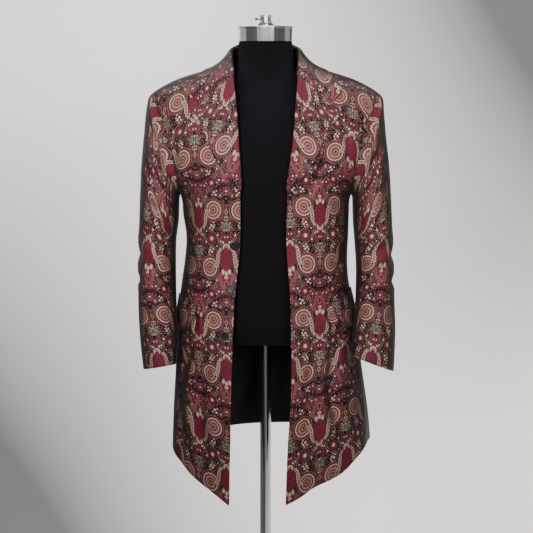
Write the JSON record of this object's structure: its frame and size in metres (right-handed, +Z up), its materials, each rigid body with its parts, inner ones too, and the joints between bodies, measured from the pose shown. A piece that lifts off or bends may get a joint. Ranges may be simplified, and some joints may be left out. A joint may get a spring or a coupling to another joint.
{
  "type": "frock coat on dress form",
  "caption": "Open frock coat of burgundy and tan paisley brocade on a limbless dress form, with a chrome neck cap, pole and round base.",
  "frame": {"origin": "centre of the stand base's underside", "axes": "+Z up along the pole, -Y out of the coat's front, +X to the wearer's left"},
  "size_m": [0.565, 0.33, 1.5279],
  "materials": {
    "brocade": "woven satin-ground brocade, paisley in burgundy, tan, cream and charcoal",
    "lining_satin": "black lining satin",
    "button_horn": "dark polished horn, semi-gloss",
    "form_jersey": "black jersey, matte",
    "stand_chrome": "polished chrome plate"
  },
  "bodies": {
    "root": {"collar": "brocade", "left_back": "brocade", "left_front": "brocade", "left_lapel": "brocade", "left_pocket_flap": "brocade", "left_top_sleeve": "brocade", "left_under_sleeve": "brocade", "right_back": "brocade", "right_front": "brocade", "right_lapel": "brocade", "right_pocket_flap": "brocade", "right_top_sleeve": "brocade", "right_under_sleeve": "brocade", "skirt_lining": "lining_satin", "front_button_1": "button_horn", "front_button_2": "button_horn", "front_button_3": "button_horn", "form_torso": "form_jersey", "form_neck_cap": "stand_chrome", "form_clamp_ring": "stand_chrome", "form_pole_end": "stand_chrome", "form_thumb_screw": "stand_chrome", "form_pole": "stand_chrome", "form_base": "stand_chrome"}
  },
  "joints": []
}
